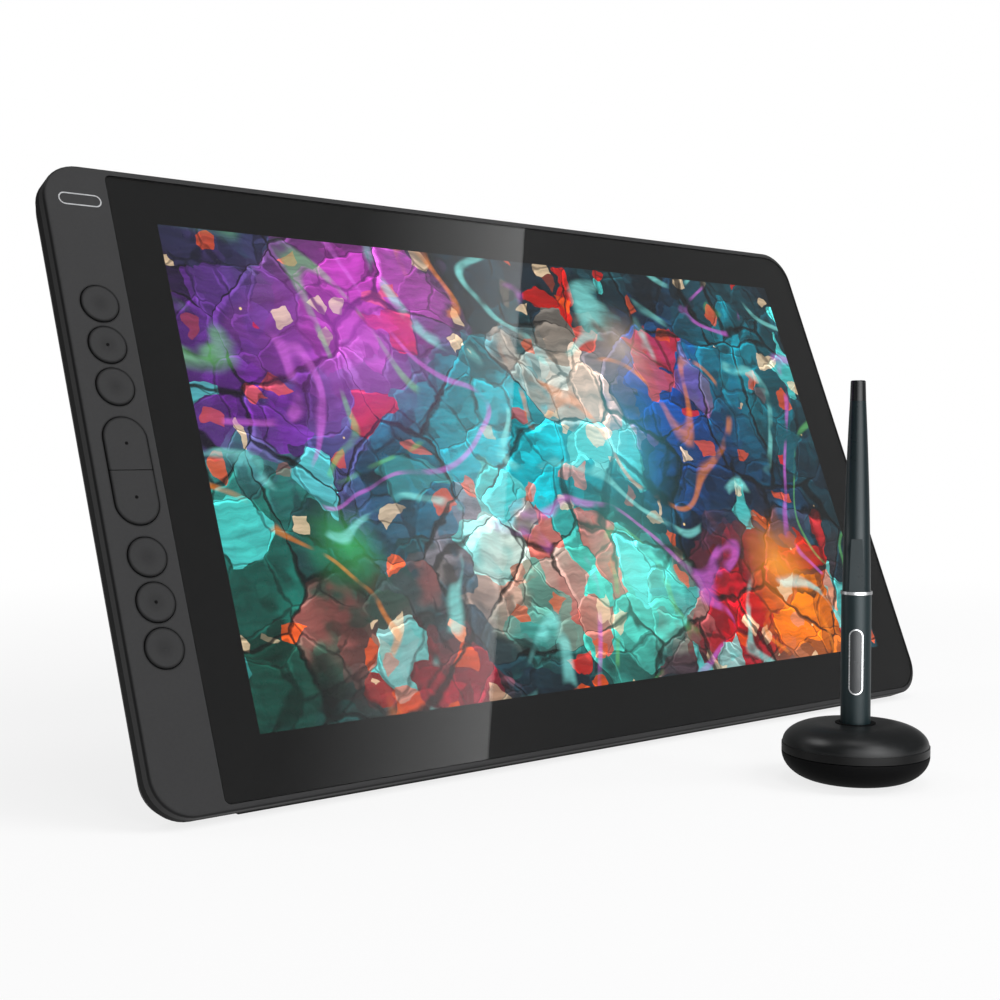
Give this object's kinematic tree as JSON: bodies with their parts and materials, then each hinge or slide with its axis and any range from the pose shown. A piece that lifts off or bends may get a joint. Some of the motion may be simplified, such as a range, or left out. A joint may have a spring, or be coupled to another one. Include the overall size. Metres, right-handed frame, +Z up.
{
  "type": "pen display tablet",
  "caption": "Slim pen display leaning on a fold-out rear leg, with a column of keys at the left, and a tapered pen standing in a round weighted stand.",
  "frame": {"origin": "middle of the desk face of the rubber strip under the tablet's lower edge", "axes": "+X along the tablet's width to the right as seen by its user, +Y backwards, +Z up"},
  "size_m": [0.407, 0.2176, 0.2231],
  "materials": {
    "frame_plastic": "fine matt black plastic",
    "cover_plastic": "matt black plastic",
    "cover_glass": "etched glass with a black printed border",
    "foam_tape": "black foam tape",
    "badge_ring": "silver grey satin",
    "lcd_cell": "liquid crystal cell",
    "films": "milky film",
    "light_guide": "clear acrylic",
    "lamp_strip": "white strip with lamps",
    "tray_metal": "plain sheet",
    "pen_sensing_board": "green circuit board",
    "chassis_metal": "plain sheet",
    "circuit_board": "green circuit board",
    "chips": "black moulded cases",
    "connectors": "cream plastic",
    "socket_metal": "plated steel",
    "ribbons": "amber film",
    "switches": "metal dome switch",
    "key_plastic": "matt black plastic",
    "button_plastic": "matt black plastic",
    "lens_plastic": "clear",
    "rubber": "black rubber",
    "black_steel": "black oxide",
    "steel": "plain",
    "leg_metal": "black anodised",
    "pen_grip": "soft matt black",
    "silver_trim": "bright",
    "pen_barrel": "satin black",
    "pen_rocker": "dark grey",
    "nib_plastic": "hard black plastic",
    "copper": "copper wire",
    "ferrite": "dark ferrite",
    "sensor_case": "metal can",
    "stand_matt": "matt black",
    "stand_gloss": "satin black"
  },
  "bodies": {
    "tablet": {"front_frame": "frame_plastic", "rear_cover": "cover_plastic", "cover_glass": "cover_glass", "glass_tape": "foam_tape", "badge_ring": "badge_ring", "lcd_cell": "lcd_cell", "optical_films": "films", "light_guide": "light_guide", "led_bar": "lamp_strip", "backlight_tray": "tray_metal", "digitizer_board": "pen_sensing_board", "chassis_plate": "chassis_metal", "main_board": "circuit_board", "main_board_chips": "chips", "ribbon_connectors": "connectors", "usb_sockets": "socket_metal", "key_ribbon": "ribbons", "display_ribbon": "ribbons", "digitizer_ribbon": "ribbons", "key_board": "circuit_board", "key_switches": "switches", "power_switch": "switches", "indicator_lens": "lens_plastic", "rear_feet": "rubber", "edge_rest_strip": "rubber", "cover_screws": "black_steel", "small_screws": "steel", "kickstand_hinge_blocks": "black_steel", "kickstand_pins": "steel"},
    "key_1": {"key_1": "key_plastic"},
    "key_2": {"key_2": "key_plastic"},
    "key_3": {"key_3": "key_plastic"},
    "key_4": {"key_4": "key_plastic"},
    "key_5": {"key_5": "key_plastic"},
    "key_6": {"key_6": "key_plastic"},
    "key_7": {"key_7": "key_plastic"},
    "key_8": {"key_8": "key_plastic"},
    "power_button": {"power_button": "button_plastic"},
    "kickstand": {"kickstand_leg": "leg_metal", "kickstand_foot_strip": "rubber"},
    "stand_base": {"stand_lower_shell": "stand_matt", "stand_weight": "steel", "stand_foot_ring": "rubber", "nib_rack": "stand_matt", "spare_nibs": "nib_plastic", "nib_puller": "steel"},
    "stand_top": {"stand_upper_shell": "stand_gloss", "stand_pen_liner": "stand_matt"},
    "pen": {"pen_grip_barrel": "pen_grip", "pen_rear_barrel": "pen_barrel", "pen_ring": "silver_trim", "pen_tail_cap": "pen_barrel", "pen_rocker_trim": "silver_trim", "pen_coil": "copper", "pen_ferrite": "ferrite", "pen_pressure_sensor": "sensor_case", "pen_board": "circuit_board"},
    "pen_side_switch": {"pen_rocker": "pen_rocker"},
    "nib": {"pen_nib": "nib_plastic", "pen_plunger": "nib_plastic"}
  },
  "joints": [
    {"name": "key_1_press", "type": "slide", "parent": "tablet", "child": "key_1", "axis": [0, 0.9272, -0.3746], "range_m": [0, 0.0006], "stiffness_N_per_m": 600, "springref_m": -0.0005},
    {"name": "key_2_press", "type": "slide", "parent": "tablet", "child": "key_2", "axis": [0, 0.9272, -0.3746], "range_m": [0, 0.0006], "stiffness_N_per_m": 600, "springref_m": -0.0005},
    {"name": "key_3_press", "type": "slide", "parent": "tablet", "child": "key_3", "axis": [0, 0.9272, -0.3746], "range_m": [0, 0.0006], "stiffness_N_per_m": 600, "springref_m": -0.0005},
    {"name": "key_4_press", "type": "slide", "parent": "tablet", "child": "key_4", "axis": [0, 0.9272, -0.3746], "range_m": [0, 0.0006], "stiffness_N_per_m": 600, "springref_m": -0.0005},
    {"name": "key_5_press", "type": "slide", "parent": "tablet", "child": "key_5", "axis": [0, 0.9272, -0.3746], "range_m": [0, 0.0006], "stiffness_N_per_m": 600, "springref_m": -0.0005},
    {"name": "key_6_press", "type": "slide", "parent": "tablet", "child": "key_6", "axis": [0, 0.9272, -0.3746], "range_m": [0, 0.0006], "stiffness_N_per_m": 600, "springref_m": -0.0005},
    {"name": "key_7_press", "type": "slide", "parent": "tablet", "child": "key_7", "axis": [0, 0.9272, -0.3746], "range_m": [0, 0.0006], "stiffness_N_per_m": 600, "springref_m": -0.0005},
    {"name": "key_8_press", "type": "slide", "parent": "tablet", "child": "key_8", "axis": [0, 0.9272, -0.3746], "range_m": [0, 0.0006], "stiffness_N_per_m": 600, "springref_m": -0.0005},
    {"name": "power_button_press", "type": "slide", "parent": "tablet", "child": "power_button", "axis": [-1, 0, 0], "range_m": [0, 0.0005], "stiffness_N_per_m": 800, "springref_m": -0.0005},
    {"name": "kickstand_fold", "type": "hinge", "parent": "tablet", "child": "kickstand", "pos_m": [0, 0.05592, 0.13868], "axis": [1, 0, 0], "range_deg": [-32, 0]},
    {"name": "stand_on_desk", "type": "slide", "parent": "tablet", "child": "stand_base", "axis": [0, -1, 0], "range_m": [0, 0.1]},
    {"name": "stand_twist", "type": "hinge", "parent": "stand_base", "child": "stand_top", "pos_m": [0.03, -0.101, 0.0115], "axis": [0, 0, 1], "range_deg": [0, 30]},
    {"name": "pen_lift", "type": "slide", "parent": "stand_top", "child": "pen", "axis": [0, 0, 1], "range_m": [0, 0.15]},
    {"name": "pen_side_switch_rock", "type": "hinge", "parent": "pen", "child": "pen_side_switch", "pos_m": [0.02653, -0.10362, 0.044], "axis": [0.6018, -0.7986, 0], "range_deg": [-2, 2], "stiffness_Nm_per_rad": 0.05},
    {"name": "nib_press", "type": "slide", "parent": "pen", "child": "nib", "axis": [0, 0, 1], "range_m": [0, 0.0006], "stiffness_N_per_m": 1500, "springref_m": -0.0002}
  ]
}
